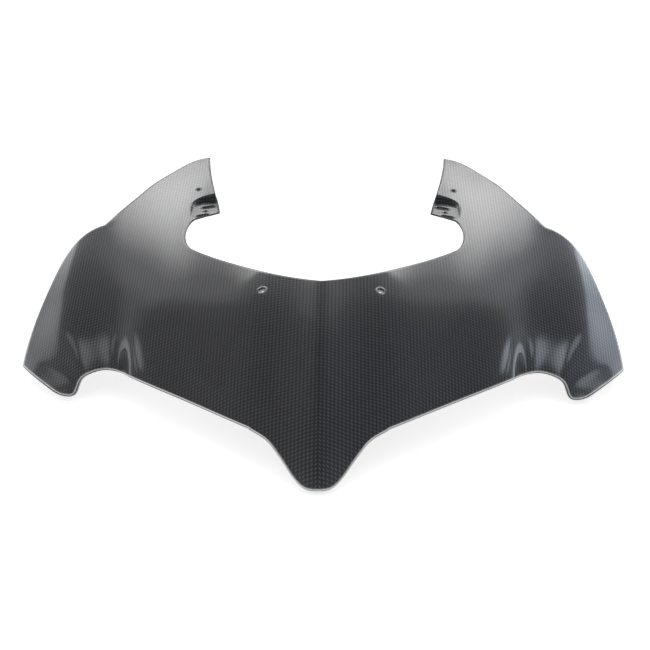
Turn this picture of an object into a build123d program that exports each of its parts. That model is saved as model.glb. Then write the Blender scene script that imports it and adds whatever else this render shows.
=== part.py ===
"""Upper nose fairing of a sports motorcycle: one moulded shell.

Millimetres. X runs across, Y to the rear and Z up. The fairing stands on the rims of its
beak and side lobes. The origin is on that ground, under the middle of the outer size.
The sizes below are worked in the moulding's own place, where the beak's tip is near zero.
"""
from build123d import *
from math import cos, radians, sin
import os

# Shell
wall = 3.0
draw_angle = 22.0           # the mould opens along a line that falls this much to the rear
draw_reach = 700.0          # half length of a trimming cut, more than the shell is long
fine = 0.05                 # how closely the outer size is measured

# Rim turned inward along the beak, the brows and the front of the lobes
rim_depth = 11.0
rim_half_span = 237.0       # how far out the rim runs
rim_top = 103.0             # and how far up the draw plane

# Windscreen screws
screw_spacing = 110.4
screw_hole = 6.6
screw_height = 176.5        # up the draw plane
screw_pad = 17.0
screw_pad_depth = 1.6

# Mirror seats, one sunk into each arm
seat_across = 110.0         # middle of the pocket
seat_back = 378.5
seat_height = 123.3
seat_roll = 4.5             # fall to the outside, degrees
seat_pitch = 3.5            # rise to the rear, degrees
seat_width = 50.0
seat_length = 67.0
seat_corner = 16.0
seat_skin_depth = 30.0      # more than the pocket is deep

# Mirror fixings, placed from the middle of the pocket
slot_length = 13.0
slot_width = 5.4
slot_turn = -14.0
rear_slot = (8.0, 16.0)
front_slot = (12.5, -5.0)
peg_hole = 3.2
peg_place = (10.5, 5.5)

# Small hole behind each mirror seat
arm_hole = 4.0
arm_hole_across = 130.2     # in the draw plane
arm_hole_height = 281.6

# Brow over each headlight, in the draw plane
brow_start = Vector(83, 58.7)
brow_end = Vector(176, 92.5)

# Crease where the lobe turns out into its lip
crease_turn = 2.0           # the skin turns within this distance to each side of the crease
crease_sink = 2.5           # how far the crease lies under the lobe's even run

# Lengthwise lines of the outer skin as (across, back, up), each with a point at these shares of its run
pace = [0, 0.05, 0.11, 0.18, 0.28, 0.42, 0.64, 1]
keel = [(0, -4, -14), (0, 3, 13), (0, 21, 40), (0, 50, 66), (0, 97, 95), (0, 171, 120), (0, 291, 140),
        (0, 490, 160)]
beak = [(20, 3, -14), (20, 13, 11), (20, 32, 38), (20, 61, 62), (20, 107, 91), (20, 178, 119),
        (20, 295, 141), (20, 490, 160)]
cheek = [(65, 42, 12), (65, 57, 31), (65, 77, 52), (65, 105, 72), (65, 147, 96), (65, 211, 120),
         (65, 316, 139), (65, 490, 159)]
flank = [(125, 98, 8), (125, 112, 24), (125, 130, 42), (125, 154, 60), (125, 191, 82), (125, 247, 103),
         (125, 339, 119), (125, 490, 150)]
side = [(180, 150, 6), (180, 163, 19), (180, 179, 35), (180, 200, 52), (180, 232, 71), (180, 281, 90),
        (180, 360, 112), (180, 490, 150)]
valley = [(203, 184, -4), (203, 195, 8), (206, 208, 21), (212, 224, 35), (223, 250, 51), (238, 289, 67),
          (244, 353, 94), (238, 460, 135)]
crest = [(216, 188, 4), (220, 199, 13), (225, 212, 25), (231, 228, 37), (243, 252, 49), (255, 290, 61),
         (258, 350, 86), (254, 450, 124)]
crease = [(236, 191, -1), (239, 201, 7), (246, 214, 13), (257, 229, 17), (272, 250, 22), (286, 282, 31),
          (291, 333, 60), (292, 420, 95)]
skirt = [(242, 176, -12), (251, 184, -6), (263, 195, -2), (275, 209, 0), (289, 232, 3), (300, 268, 9),
         (306, 321, 35), (308, 410, 74)]

draw = Vector(0, cos(radians(draw_angle)), -sin(radians(draw_angle)))
draw_plane = Plane(origin=(0, 0, 0), x_dir=(1, 0, 0), z_dir=-draw)
down = Vector(0, 0, -1)


def skin_line(points, hand):
    return Wire([Edge.make_spline([Vector(hand * across, back, up) for across, back, up in points],
                                  parameters=pace)])


def beside(line, neighbour):
    """Line that keeps close to the first one, on the side of its neighbour."""
    starts = [Vector(point) for point in line]
    ends = [Vector(point) for point in neighbour]
    return [tuple(start + (end - start).normalized() * crease_turn) for start, end in zip(starts, ends)]


def outer_skin():
    """Outer surface of the shell, larger than the fairing all round."""
    sunk = [(across, back, up - crease_sink) for across, back, up in crease]
    half = [beak, cheek, flank, side, valley, crest, beside(sunk, crest), beside(sunk, skirt), skirt]
    left = [skin_line(points, -1) for points in reversed(half)]
    right = [skin_line(points, 1) for points in half]
    return Shell.make_loft(left + [skin_line(keel, 1)] + right).faces()[0]


def half_outline():
    """Right half of the fairing's edge in the draw plane, from the beak round to the screen."""
    along_brow = (brow_end - brow_start).normalized()
    beak_edge = Spline((0, -1), (11, 0.4), (20.6, 8.2), (29.9, 21), (38, 32), (47.5, 42.2), (62.3, 50.6),
                       brow_start, tangents=[(1, 0), along_brow])
    brow_edge = Line(brow_start, brow_end)
    arch_edge = Spline(brow_end, (191, 97.4), (207, 99.6), (220, 96.6), (229.5, 90.5), (233, 82),
                       (241, 74.3), tangents=[along_brow, (1, 0)])
    foot_edge = Spline((241, 74.3), (260.7, 81.5), (291.4, 102), tangents=[(1, 0), (0.8, 0.6)])
    rear_edge = Spline((291.4, 102), (290, 119.5), (279.3, 158.8), (268.5, 188.7), (250.3, 224),
                       (241, 233.5), (222, 243.2))
    arm_edge = Spline((222, 243.2), (205, 260.3), (188.5, 276.5), (177.2, 287.5), (160, 300), (139, 313),
                      (121.5, 317.5))
    arm_end = Spline((121.5, 317.5), (119.5, 302), (114.6, 284), (105.5, 255.5))
    seat_edge = Line((105.5, 255.5), (130, 248))
    screen_side = Spline((130, 248), (135.5, 241), (137, 229), (130, 218))
    screen_edge = Spline((130, 218), (115, 211.6), (81.5, 200.8), (40, 190.6), (0, 185))
    return Curve() + [beak_edge, brow_edge, arch_edge, foot_edge, rear_edge, arm_edge, arm_end,
                      seat_edge, screen_side, screen_edge]


def outline():
    half = half_outline()
    return make_face(Wire(half.edges() + mirror(half, about=Plane.YZ).edges()))


def along_draw(sketch):
    return extrude(draw_plane * sketch, amount=draw_reach, both=True)


def on_skin(skin, across, height):
    """Plane that touches the skin where a point of the draw plane falls on it, facing out."""
    start = draw_plane.from_local_coords(Vector(across, height, 0)) - draw * draw_reach
    point, normal = skin.find_intersection_points(Axis(start, draw))[0]
    outward = normal if normal.dot(draw) < 0 else -normal
    return Plane(origin=point, x_dir=(1, 0, 0), z_dir=outward)


def rim(skin, edge):
    """Inward flange that stiffens the edge round the headlights, a little proud of it until trimmed."""
    slant = wall * sin(radians(45))
    inside = edge & Pos(0, wall) * edge & Pos(slant, slant) * edge & Pos(-slant, slant) * edge
    outside = Pos(0, -wall / 2) * edge + Pos(wall / 2, 0) * edge + Pos(-wall / 2, 0) * edge
    window = Pos(0, rim_top / 2) * Rectangle(2 * rim_half_span, rim_top + 4 * wall)
    band = (outside - inside) & window
    return along_draw(band) & extrude(Pos(draw * wall / 2) * skin, amount=rim_depth, dir=draw)


def seat_plane(hand):
    tilted = Plane(origin=(hand * seat_across, seat_back, seat_height))
    return tilted.rotated((seat_pitch, hand * seat_roll, 0))


def seat_pocket(hand):
    """Air over the mirror seat."""
    outline_of_seat = RectangleRounded(seat_width, seat_length, seat_corner)
    return extrude(seat_plane(hand) * outline_of_seat, amount=seat_skin_depth)


def seat_block(skin, hand):
    """Floor and step that carry the mirror, still full, from the middle of the skin's wall down."""
    grown = RectangleRounded(seat_width + 2 * wall, seat_length + 2 * wall, seat_corner + wall)
    block = extrude(seat_plane(hand).offset(-wall) * grown, amount=seat_skin_depth + wall)
    return block & extrude(Pos(0, 0, -wall / 2) * skin, amount=seat_skin_depth, dir=down)


def mirror_fixings(hand):
    slot = Rot(0, 0, hand * slot_turn) * SlotOverall(slot_length, slot_width)
    holes = Sketch() + [Pos(hand * x, y) * slot for x, y in (rear_slot, front_slot)]
    holes += Pos(hand * peg_place[0], peg_place[1]) * Circle(peg_hole / 2)
    return extrude(seat_plane(hand) * holes, amount=2 * wall, both=True)


def drilled(place, diameter):
    return place * Cylinder(diameter / 2, 4 * wall)


def fairing_shell():
    skin = outer_skin()
    edge = outline()
    screws = [on_skin(skin, hand * screw_spacing / 2, screw_height) for hand in (-1, 1)]
    arm_places = [on_skin(skin, hand * arm_hole_across, arm_hole_height) for hand in (-1, 1)]
    shell = thicken(skin, wall)
    shell += rim(skin, edge)
    for place in screws:
        pad_height = screw_pad_depth + wall / 2
        shell += place * Pos(0, 0, -wall / 2 - pad_height / 2) * Cylinder(screw_pad / 2, pad_height)
    for hand in (-1, 1):
        shell += seat_block(skin, hand)
    shell = shell & along_draw(edge)
    for hand in (-1, 1):
        shell -= seat_pocket(hand)
        shell -= mirror_fixings(hand)
    for place in screws:
        shell -= drilled(place, screw_hole)
    for place in arm_places:
        shell -= drilled(place, arm_hole)
    return shell


def stand(shell):
    """Sets the shell on the ground with the origin under its middle."""
    points, _ = shell.tessellate(fine)
    backs = [point.Y for point in points]
    return Pos(0, -(min(backs) + max(backs)) / 2, -min(point.Z for point in points)) * shell


os.makedirs("parts", exist_ok=True)
export_step(stand(fairing_shell()), "parts/fairing_shell.step")
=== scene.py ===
"""Upper nose fairing of a sports motorcycle: its glossy weave finish, studio and camera.

Metres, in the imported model's frame: X across, Y to the rear, Z up, ground at zero.
"""
import bpy
import math
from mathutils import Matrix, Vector

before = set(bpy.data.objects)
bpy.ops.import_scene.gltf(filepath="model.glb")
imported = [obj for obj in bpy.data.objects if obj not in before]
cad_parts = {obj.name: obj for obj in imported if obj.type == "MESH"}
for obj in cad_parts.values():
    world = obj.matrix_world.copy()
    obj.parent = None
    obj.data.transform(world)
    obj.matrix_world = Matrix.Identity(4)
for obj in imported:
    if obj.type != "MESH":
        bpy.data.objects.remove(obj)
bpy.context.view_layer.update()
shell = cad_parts["fairing_shell"]

MM = 0.001

# Camera, as the photograph was taken
CAMERA_RISE = math.radians(22.0)
CAMERA_TURN = math.radians(1.0)
CAMERA_RANGE = 2.2
CAMERA_AIM = Vector((3.055, -42.477, 79.826)) * MM
CAMERA_LENS = 129.62            # millimetres, as is the sensor's width
CAMERA_SENSOR = 36.0

# Printed film over the shell
WEAVE_CELL = 3.5 * MM           # one dash of the printed twill, real prints run from 3 to 4 mm
WEAVE_LEAN = 0.55               # how far a dash climbs in crossing its column, in cells
DASH_CORE = 0.12                # a dash is full within this distance of its middle, in cells
DASH_EDGE = 0.45                # and has faded at this one
WEAVE_PATCH = 3.8 * MM          # size of the print's lighter and darker spots
FILM_SPREAD = 1.073             # how much wider the film is than the shell is across, at the middle
FILM_WIDENING = (0.35, 0.36, 0.0)   # what each metre out and to the rear adds to that
FILM_RUN = (0.0734, 0.77, 0.647)    # the film's way along the shell, mostly to the rear and up
FILM_BOW = 0.415                # its rows bow by this times the square of the way out

# Lacquer and plastic
MOULD_SLOPE = math.radians(22.0)    # the mould opens along this slope, and the spray came along it too
SPRAY_EDGE = (-0.02, 0.06)      # cosines between which the coating sets in, by the turn to the spray
EDGE_RADIUS = 4.0 * MM          # rounds the trimmed edges, wider than real lacquer so that it shows
# A white highlight painted into the colour along the front edges that turn down, in place of their glint
HIGHLIGHT_TURNS = (0.86, 0.90, 0.98, 0.996)  # cosines of the turn: the painted highlight's end, its full part, its start
HIGHLIGHT_LEAN = 0.04                # how far the edge leans down before the painted highlight is full
HIGHLIGHT_FULL = 0.03                # the painted highlight is full in front of this place
HIGHLIGHT_END = 0.06                 # and ends at this one
PEEL = 1.1 * MM                 # ripple of sprayed lacquer
GRAIN = 0.55 * MM               # moulding grain of the bare inside

# Studio, where a level of 1 is white
FLOOR_REACH = 6.0
PAPER_GLOW = 0.72               # lifts the floor to white where the camera or the lacquer sees it
ROOM_LIGHT = 0.75               # even light on all that is matt
ROOM = 0.26                     # the dark room that the lacquer mirrors
ROOM_BACK = 0.03                # its darkest part, over the wall behind
DARKEST_WAY = (0.0, 0.8, 0.6)   # the way to that part
DARKEST_REACH = (0.25, 0.8)     # it gives way to the rest of the room this far off that way
CEILING = 0.06                  # the ceiling adds this towards its sides
CEILING_SIDES = (0.1, 0.7)      # the light there starts and is full this far aside
CEILING_EDGE = (1.85, 1.95)     # the ceiling starts where the way to the rear climbs this steeply
LEAST_BACK = 0.02               # keeps that climb finite for the ways to the front

# Wall behind the shell, with the right half of its outline as ways out and up
WALL_BACK = 0.72
WALL_HALF = [(2.0, 0), (2.0, 1.15), (1.0, 1.3), (0.62, 1.28), (0.45, 1.2), (0.36, 1.0)]
WALL_LEVEL = 0.22               # its even light
WALL_SHADE = (0.84, 0.98)       # the lamp's light fades out between these heights
WALL_MIDDLE = 0.1               # share of that light and the lamp's that its middle keeps
WALL_GAP = (0.06, 0.2)          # and the ways out between which the light comes back
# The lamps are pools of light painted into the wall's glow
LAMP_LEVEL = 5.3
LAMP_HEIGHT = 0.9
LAMP_CORE = 0.22                # its light is full within this distance
LAMP_REACH = 0.69               # and lowest from this one on
LAMP_REST = 0.05
WEAK_LEVEL = 0.33               # two weak lamps farther out
WEAK_ACROSS = 0.72
WEAK_HEIGHT = 0.88
WEAK_CORE = 0.03
WEAK_REACH = 0.36

# White boards beside the lobes: side, name, tint and level
BOARDS = ((-1, "left", "f8f9fc", 0.9), (1, "right", "e8f1fc", 1.7))
BOARD_REAR = 3.0                # how many times brighter they are at the rear
BOARD_TURN = (0.08, 0.18)       # the places between which they get brighter
BOARD_ACROSS = 0.30
BOARD_RUN = (-0.15, 0.35)       # from front to rear
BOARD_TOP = 0.048               # their height at the middle of the shell
BOARD_FULL = 0.034              # and the height below which they are full, there
BOARD_SLOPE = 0.72              # how both heights climb to the rear

# Small reflectors over each lobe's foot: name, ways out and back, reach, share of the board's level
REFLECTORS = (("inner", 0.246, -0.028, 0.036, 1.5), ("outer", 0.306, 0.0, 0.034, 1.1))
REFLECTOR_HEIGHT = 0.09
REFLECTOR_CORE = 0.012


def srgb(code):
    """Linear colour from a hex code such as 2c2c2d."""
    parts = [int(code[i:i + 2], 16) / 255 for i in (0, 2, 4)]
    linear = [c / 12.92 if c <= 0.04045 else ((c + 0.055) / 1.055) ** 2.4 for c in parts]
    return (*linear, 1.0)


def node(tree, kind, inputs=None, **settings):
    """Adds a node, sets its settings, and sets or links its inputs; a node stands for its first output."""
    made = tree.nodes.new(kind)
    for name, value in settings.items():
        setattr(made, name, value)
    for socket, value in (inputs or {}).items():
        source = value.outputs[0] if isinstance(value, bpy.types.Node) else value
        if isinstance(source, bpy.types.NodeSocket):
            tree.links.new(source, made.inputs[socket])
        else:
            made.inputs[socket].default_value = source
    return made


def new_material(name):
    material = bpy.data.materials.new(name)
    material.use_nodes = True
    material.node_tree.nodes.clear()
    return material, material.node_tree


def folded(tree, place):
    """A place taken apart, its way out to either side, and the place brought over to the right half."""
    spot = node(tree, "ShaderNodeSeparateXYZ", {0: place})
    side = node(tree, "ShaderNodeMath", {0: spot.outputs["X"]}, operation="ABSOLUTE")
    half = node(tree, "ShaderNodeCombineXYZ", {"X": side, "Y": spot.outputs["Y"], "Z": spot.outputs["Z"]})
    return spot, side, half


def printed_dashes(tree, side, half):
    """One dash in each cell of the film, which spreads a little on the curved shell."""
    widening = node(tree, "ShaderNodeVectorMath", {0: half, 1: FILM_WIDENING}, operation="DOT_PRODUCT")
    spread = node(tree, "ShaderNodeMath", {0: widening.outputs["Value"], 1: FILM_SPREAD}, operation="ADD")
    across = node(tree, "ShaderNodeMath", {0: side, 1: spread}, operation="MULTIPLY")
    run = node(tree, "ShaderNodeVectorMath", {0: half, 1: FILM_RUN}, operation="DOT_PRODUCT")
    bow = node(tree, "ShaderNodeMath", {0: side, 1: side}, operation="MULTIPLY")
    along = node(tree, "ShaderNodeMath", {0: bow, 1: FILM_BOW, 2: run.outputs["Value"]},
                 operation="MULTIPLY_ADD")

    # Each dash leans across its column
    columns = node(tree, "ShaderNodeMath", {0: across, 1: WEAVE_CELL}, operation="DIVIDE")
    column = node(tree, "ShaderNodeMath", {0: columns}, operation="FRACT")
    rows = node(tree, "ShaderNodeMath", {0: along, 1: WEAVE_CELL}, operation="DIVIDE")
    leaning = node(tree, "ShaderNodeMath", {0: column, 1: WEAVE_LEAN, 2: rows}, operation="MULTIPLY_ADD")
    row = node(tree, "ShaderNodeMath", {0: leaning}, operation="FRACT")
    cell = node(tree, "ShaderNodeCombineXYZ", {"X": column, "Y": row})
    off_middle = node(tree, "ShaderNodeVectorMath", {0: cell, 1: (0.5, 0.5, 0.0)}, operation="DISTANCE")
    return node(tree, "ShaderNodeMapRange", {"Value": off_middle.outputs["Value"], "From Min": DASH_EDGE,
                                             "From Max": DASH_CORE}, interpolation_type="SMOOTHSTEP")


def printed_ink(tree, place, dashes):
    """Grey dashes on black, lighter and darker in spots."""
    patches = node(tree, "ShaderNodeTexNoise", {"Vector": place, "Scale": 1 / WEAVE_PATCH, "Detail": 2.0})
    uneven = node(tree, "ShaderNodeMapRange", {"Value": patches.outputs["Fac"], "From Min": 0.3,
                                               "From Max": 0.7, "To Min": 0.75, "To Max": 1.2})
    strength = node(tree, "ShaderNodeMath", {0: dashes, 1: uneven}, operation="MULTIPLY")
    return node(tree, "ShaderNodeMix", {"Factor": strength, "A": srgb("2b2c2e"), "B": srgb("5c5d60")},
                data_type="RGBA").outputs["Result"]


def painted_edge_highlight(tree, back, normal, rounded):
    """White highlight painted along the front edges where they turn down, in place of their glint."""
    turned = node(tree, "ShaderNodeVectorMath", {0: rounded, 1: normal}, operation="DOT_PRODUCT")
    bend = node(tree, "ShaderNodeValToRGB", {"Fac": turned.outputs["Value"]})
    ends, thins, swells, starts = HIGHLIGHT_TURNS
    bend.color_ramp.elements[0].position = ends
    bend.color_ramp.elements[1].position = starts
    bend.color_ramp.elements[1].color = srgb("000000")
    bend.color_ramp.elements.new(thins).color = srgb("ffffff")
    bend.color_ramp.elements.new(swells).color = srgb("ffffff")
    lean = node(tree, "ShaderNodeVectorMath", {0: rounded, 1: normal}, operation="SUBTRACT")
    down_front = Vector((0.0, -math.sin(MOULD_SLOPE), -math.cos(MOULD_SLOPE)))
    downward = node(tree, "ShaderNodeVectorMath", {0: lean, 1: down_front}, operation="DOT_PRODUCT")
    leading = node(tree, "ShaderNodeMapRange", {"Value": downward.outputs["Value"], "From Min": 0.0,
                                                "From Max": HIGHLIGHT_LEAN})
    front = node(tree, "ShaderNodeMapRange", {"Value": back, "From Min": HIGHLIGHT_END, "From Max": HIGHLIGHT_FULL})
    held = node(tree, "ShaderNodeMath", {0: bend, 1: leading}, operation="MULTIPLY")
    return node(tree, "ShaderNodeMath", {0: held, 1: front}, operation="MULTIPLY")


def lacquered_print(tree, place, normal):
    """The print under lacquer, which rounds the trimmed edges, with a white highlight painted along the
    front edges.
    """
    spot, side, half = folded(tree, place)
    dashes = printed_dashes(tree, side, half)
    rounded = node(tree, "ShaderNodeBevel", {"Radius": EDGE_RADIUS}, samples=8)
    edge_highlight = painted_edge_highlight(tree, spot.outputs["Y"], normal, rounded)
    # The painted highlight: white mixed into the colour along the turned-down front edges, where the metal
    # is taken out too
    colour = node(tree, "ShaderNodeMix", {"Factor": edge_highlight, "A": printed_ink(tree, place, dashes),
                                          "B": srgb("ffffff")}, data_type="RGBA").outputs["Result"]
    metal = node(tree, "ShaderNodeMapRange", {"Value": edge_highlight, "To Min": 0.6, "To Max": 0.0})

    # The print's faint relief and the lacquer's ripple
    relief = node(tree, "ShaderNodeBump", {"Height": dashes, "Strength": 0.25, "Distance": 0.1 * MM,
                                           "Normal": rounded})
    waves = node(tree, "ShaderNodeTexNoise", {"Vector": place, "Scale": 1 / PEEL, "Detail": 2.0})
    peel = node(tree, "ShaderNodeBump", {"Height": waves.outputs["Fac"], "Strength": 0.12,
                                         "Distance": 0.02 * MM, "Normal": rounded})
    return node(tree, "ShaderNodeBsdfPrincipled",
                {"Base Color": colour, "Metallic": metal, "Roughness": 0.42, "Coat Weight": 1.0,
                 "Coat Roughness": 0.03, "Coat IOR": 1.5, "Normal": relief, "Coat Normal": peel})


def bare_plastic(tree, place):
    """Black plastic with the mould's grain."""
    grain = node(tree, "ShaderNodeTexNoise", {"Vector": place, "Scale": 1 / GRAIN, "Detail": 3.0})
    rough = node(tree, "ShaderNodeMapRange", {"Value": grain.outputs["Fac"], "To Min": 0.42,
                                              "To Max": 0.62})
    pits = node(tree, "ShaderNodeBump", {"Height": grain.outputs["Fac"], "Strength": 0.3,
                                         "Distance": 0.05 * MM})
    return node(tree, "ShaderNodeBsdfPrincipled",
                {"Base Color": srgb("1d1d1f"), "Roughness": rough, "Normal": pits})


# ABS shell, moulded, then dipped in a printed twill film and sprayed with thick clear lacquer. The film is
# a grey metallic ink with black between the dashes, so it is dark face on and silvery where it mirrors a
# bright wall. The lacquer over it is smooth and sharp. The inside is bare black plastic, because the print
# and lacquer stay on what the spray reaches from outside.
def weave_material():
    material, tree = new_material("gloss_weave_lacquer")
    place = node(tree, "ShaderNodeTexCoord").outputs["Object"]
    surface = node(tree, "ShaderNodeNewGeometry")
    outer = lacquered_print(tree, place, surface.outputs["Normal"])
    inner = bare_plastic(tree, place)
    spray = Vector((0.0, -math.cos(MOULD_SLOPE), math.sin(MOULD_SLOPE)))
    facing = node(tree, "ShaderNodeVectorMath", {0: surface.outputs["True Normal"], 1: spray},
                  operation="DOT_PRODUCT")
    coated = node(tree, "ShaderNodeMapRange", {"Value": facing.outputs["Value"],
                                               "From Min": SPRAY_EDGE[0], "From Max": SPRAY_EDGE[1]})
    mixed = node(tree, "ShaderNodeMixShader", {0: coated, 1: inner, 2: outer})
    node(tree, "ShaderNodeOutputMaterial", {"Surface": mixed})
    return material


# Studio paper, matt and white. The camera and reflections see it lit, with the shadow kept.
def paper_material():
    material, tree = new_material("white_paper")
    plain = node(tree, "ShaderNodeBsdfDiffuse", {"Color": srgb("f2f2f2")})
    glow = node(tree, "ShaderNodeEmission", {"Color": srgb("ffffff"), "Strength": PAPER_GLOW})
    rays = node(tree, "ShaderNodeLightPath")
    seen = node(tree, "ShaderNodeMath",
                {0: rays.outputs["Is Camera Ray"], 1: rays.outputs["Is Glossy Ray"]}, operation="MAXIMUM")
    lit = node(tree, "ShaderNodeAddShader", {0: plain, 1: glow})
    mixed = node(tree, "ShaderNodeMixShader", {0: seen, 1: plain, 2: lit})
    node(tree, "ShaderNodeOutputMaterial", {"Surface": mixed})
    return material


def square(middle, reach):
    """Corners of a level square."""
    return [middle + reach * Vector(way) for way in ((-1, -1, 0), (1, -1, 0), (1, 1, 0), (-1, 1, 0))]


def sheet(name, corners, material):
    """A flat piece of the studio, not of the object."""
    mesh = bpy.data.meshes.new(name)
    mesh.from_pydata(corners, [], [range(len(corners))])
    made = bpy.data.objects.new(name, mesh)
    bpy.context.scene.collection.objects.link(made)
    made.data.materials.append(material)
    return made


def mirrored_room(tree):
    """What the lacquer mirrors of the room: it is dark, with a dim lit ceiling."""
    way = node(tree, "ShaderNodeTexCoord").outputs["Generated"]
    spot = node(tree, "ShaderNodeSeparateXYZ", {0: way})

    # The ceiling starts where the way to the rear climbs steeply, and it is lit towards its sides
    back = node(tree, "ShaderNodeMath", {0: spot.outputs["Y"], 1: LEAST_BACK}, operation="MAXIMUM")
    rise = node(tree, "ShaderNodeMath", {0: spot.outputs["Z"], 1: back}, operation="DIVIDE")
    above_edge = node(tree, "ShaderNodeMapRange", {"Value": rise, "From Min": CEILING_EDGE[0],
                                                   "From Max": CEILING_EDGE[1]},
                      interpolation_type="SMOOTHSTEP")
    side = node(tree, "ShaderNodeMath", {0: spot.outputs["X"]}, operation="ABSOLUTE")
    glow = node(tree, "ShaderNodeMapRange", {"Value": side, "From Min": CEILING_SIDES[0],
                                             "From Max": CEILING_SIDES[1], "To Min": 0.0,
                                             "To Max": CEILING},
                interpolation_type="SMOOTHSTEP")

    # The room is darkest over the wall behind, and cooler to the right
    off_way = node(tree, "ShaderNodeVectorMath", {0: way, 1: DARKEST_WAY}, operation="DISTANCE")
    room = node(tree, "ShaderNodeMapRange", {"Value": off_way.outputs["Value"],
                                             "From Min": DARKEST_REACH[0], "From Max": DARKEST_REACH[1],
                                             "To Min": ROOM_BACK, "To Max": ROOM})
    level = node(tree, "ShaderNodeMath", {0: above_edge, 1: glow, 2: room}, operation="MULTIPLY_ADD")
    to_right = node(tree, "ShaderNodeMapRange", {"Value": spot.outputs["X"], "From Min": -0.5,
                                                 "From Max": 0.5})
    tint = node(tree, "ShaderNodeMix", {"Factor": to_right, "A": srgb("fbfbfc"), "B": srgb("e6f0fb")},
                data_type="RGBA").outputs["Result"]
    return node(tree, "ShaderNodeBackground", {"Color": tint, "Strength": level})


def studio_world():
    """Even room light, which the camera sees as white paper and the lacquer as a dark room."""
    world = bpy.data.worlds.new("studio")
    bpy.context.scene.world = world
    world.use_nodes = True
    tree = world.node_tree
    tree.nodes.clear()
    soft = node(tree, "ShaderNodeBackground", {"Strength": ROOM_LIGHT})
    white = node(tree, "ShaderNodeBackground", {"Strength": 1.0})
    rays = node(tree, "ShaderNodeLightPath")
    lit = node(tree, "ShaderNodeMixShader",
               {0: rays.outputs["Is Glossy Ray"], 1: soft, 2: mirrored_room(tree)})
    shown = node(tree, "ShaderNodeMixShader", {0: rays.outputs["Is Camera Ray"], 1: lit, 2: white})
    node(tree, "ShaderNodeOutputWorld", {"Surface": shown})


def pool(tree, place, middle, core, reach, full, rest):
    """Round pool of light: full within its core, and down to the rest at its reach."""
    away = node(tree, "ShaderNodeVectorMath", {0: place, 1: middle}, operation="DISTANCE")
    return node(tree, "ShaderNodeMapRange", {"Value": away.outputs["Value"], "From Min": core,
                                             "From Max": reach, "To Min": full, "To Max": rest},
                interpolation_type="SMOOTHSTEP")


def finish_card(tree, tint, level):
    """Ends a card's material, which shines by itself."""
    glow = node(tree, "ShaderNodeEmission", {"Color": srgb(tint), "Strength": level})
    node(tree, "ShaderNodeOutputMaterial", {"Surface": glow})


# Glowing paper wall behind the shell, with pools of light painted into its glow, as one soft lamp from
# below its top and a weak one to each side would light it.
def wall_material():
    material, tree = new_material("back_wall")
    place = node(tree, "ShaderNodeTexCoord").outputs["Object"]
    spot, side, half = folded(tree, place)
    lamp = pool(tree, half, (0.0, WALL_BACK, LAMP_HEIGHT), LAMP_CORE, LAMP_REACH, LAMP_LEVEL, LAMP_REST)
    weak = pool(tree, half, (WEAK_ACROSS, WALL_BACK, WEAK_HEIGHT), WEAK_CORE, WEAK_REACH, WEAK_LEVEL, 0.0)
    shade = node(tree, "ShaderNodeMapRange", {"Value": spot.outputs["Z"], "From Min": WALL_SHADE[0],
                                              "From Max": WALL_SHADE[1], "To Min": 1.0, "To Max": 0.0},
                 interpolation_type="SMOOTHSTEP")
    whole = node(tree, "ShaderNodeMath", {0: lamp, 1: shade, 2: WALL_LEVEL}, operation="MULTIPLY_ADD")
    gap = node(tree, "ShaderNodeMapRange", {"Value": side, "From Min": WALL_GAP[0], "From Max": WALL_GAP[1],
                                            "To Min": WALL_MIDDLE, "To Max": 1.0},
               interpolation_type="SMOOTHSTEP")
    level = node(tree, "ShaderNodeMath", {0: whole, 1: gap, 2: weak}, operation="MULTIPLY_ADD")
    finish_card(tree, "ffffff", level)
    return material


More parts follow.
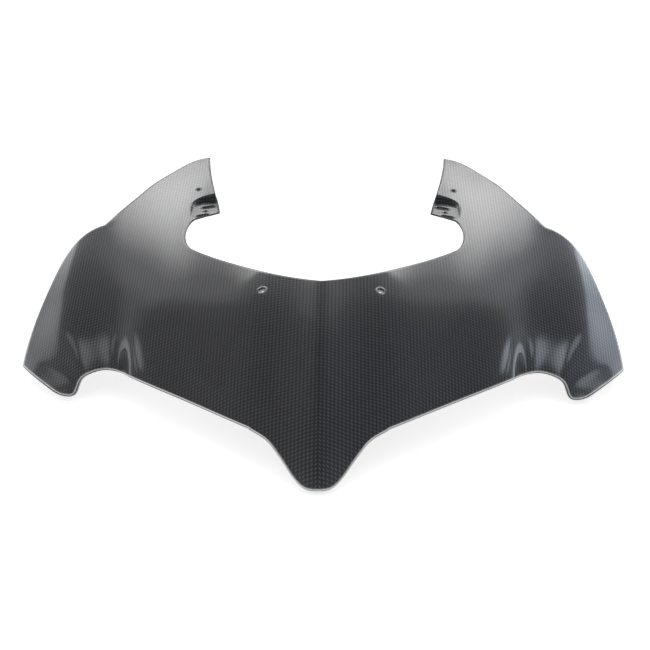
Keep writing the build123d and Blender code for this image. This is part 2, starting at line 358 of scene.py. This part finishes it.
# White board close beside each lobe: brighter to the rear, fading out towards its sloping top.
def board_material(name, tint, level):
    material, tree = new_material(name)
    place = node(tree, "ShaderNodeTexCoord").outputs["Object"]
    spot = node(tree, "ShaderNodeSeparateXYZ", {0: place})
    rear = node(tree, "ShaderNodeMapRange", {"Value": spot.outputs["Y"], "From Min": BOARD_TURN[0],
                                             "From Max": BOARD_TURN[1], "To Min": level,
                                             "To Max": BOARD_REAR * level},
                interpolation_type="SMOOTHSTEP")
    height = node(tree, "ShaderNodeMath", {0: spot.outputs["Y"], 1: -BOARD_SLOPE, 2: spot.outputs["Z"]},
                  operation="MULTIPLY_ADD")
    low = node(tree, "ShaderNodeMapRange", {"Value": height, "From Min": BOARD_TOP, "From Max": BOARD_FULL},
               interpolation_type="SMOOTHSTEP")
    shown = node(tree, "ShaderNodeMath", {0: rear, 1: low, 2: ROOM}, operation="MULTIPLY_ADD")
    finish_card(tree, tint, shown)
    return material


# Small white reflector over a lobe's foot, soft out to its edge.
def reflector_material(name, tint, middle, reach, level):
    material, tree = new_material(name)
    place = node(tree, "ShaderNodeTexCoord").outputs["Object"]
    finish_card(tree, tint, pool(tree, place, middle, REFLECTOR_CORE, reach, level, ROOM))
    return material


def card(name, corners, material):
    """A shining card that only gloss sees: it is out of the picture and lights nothing matt."""
    made = sheet(name, corners, material)
    made.visible_camera = False
    made.visible_diffuse = False
    made.visible_shadow = False


def cards():
    whole = WALL_HALF + [(-across, up) for across, up in reversed(WALL_HALF)]
    card("back_wall", [(across, WALL_BACK, up) for across, up in whole], wall_material())
    near, far = BOARD_RUN
    profile = [(near, 0), (far, 0)] + [(back, BOARD_TOP + BOARD_SLOPE * back) for back in (far, near)]
    for hand, name, tint, level in BOARDS:
        board = name + "_wall"
        card(board, [(hand * BOARD_ACROSS, back, up) for back, up in profile],
             board_material(board, tint, level))
        for place, out, back, reach, share in REFLECTORS:
            label = name + "_" + place + "_reflector"
            middle = Vector((hand * out, back, REFLECTOR_HEIGHT))
            card(label, square(middle, reach),
                 reflector_material(label, tint, middle, reach, share * level))


def camera():
    data = bpy.data.cameras.new("camera")
    data.sensor_width = CAMERA_SENSOR
    data.lens = CAMERA_LENS
    made = bpy.data.objects.new("camera", data)
    bpy.context.scene.collection.objects.link(made)
    level = math.cos(CAMERA_RISE)
    look = Vector((-math.sin(CAMERA_TURN) * level, math.cos(CAMERA_TURN) * level, -math.sin(CAMERA_RISE)))
    made.location = CAMERA_AIM - CAMERA_RANGE * look
    made.rotation_mode = "QUATERNION"
    made.rotation_quaternion = look.to_track_quat("-Z", "Y")
    bpy.context.scene.camera = made


bpy.context.scene.view_settings.view_transform = "Standard"
camera()
sheet("floor", square(Vector((0, 0, 0)), FLOOR_REACH), paper_material())
studio_world()
cards()
shell.data.materials[0] = weave_material()
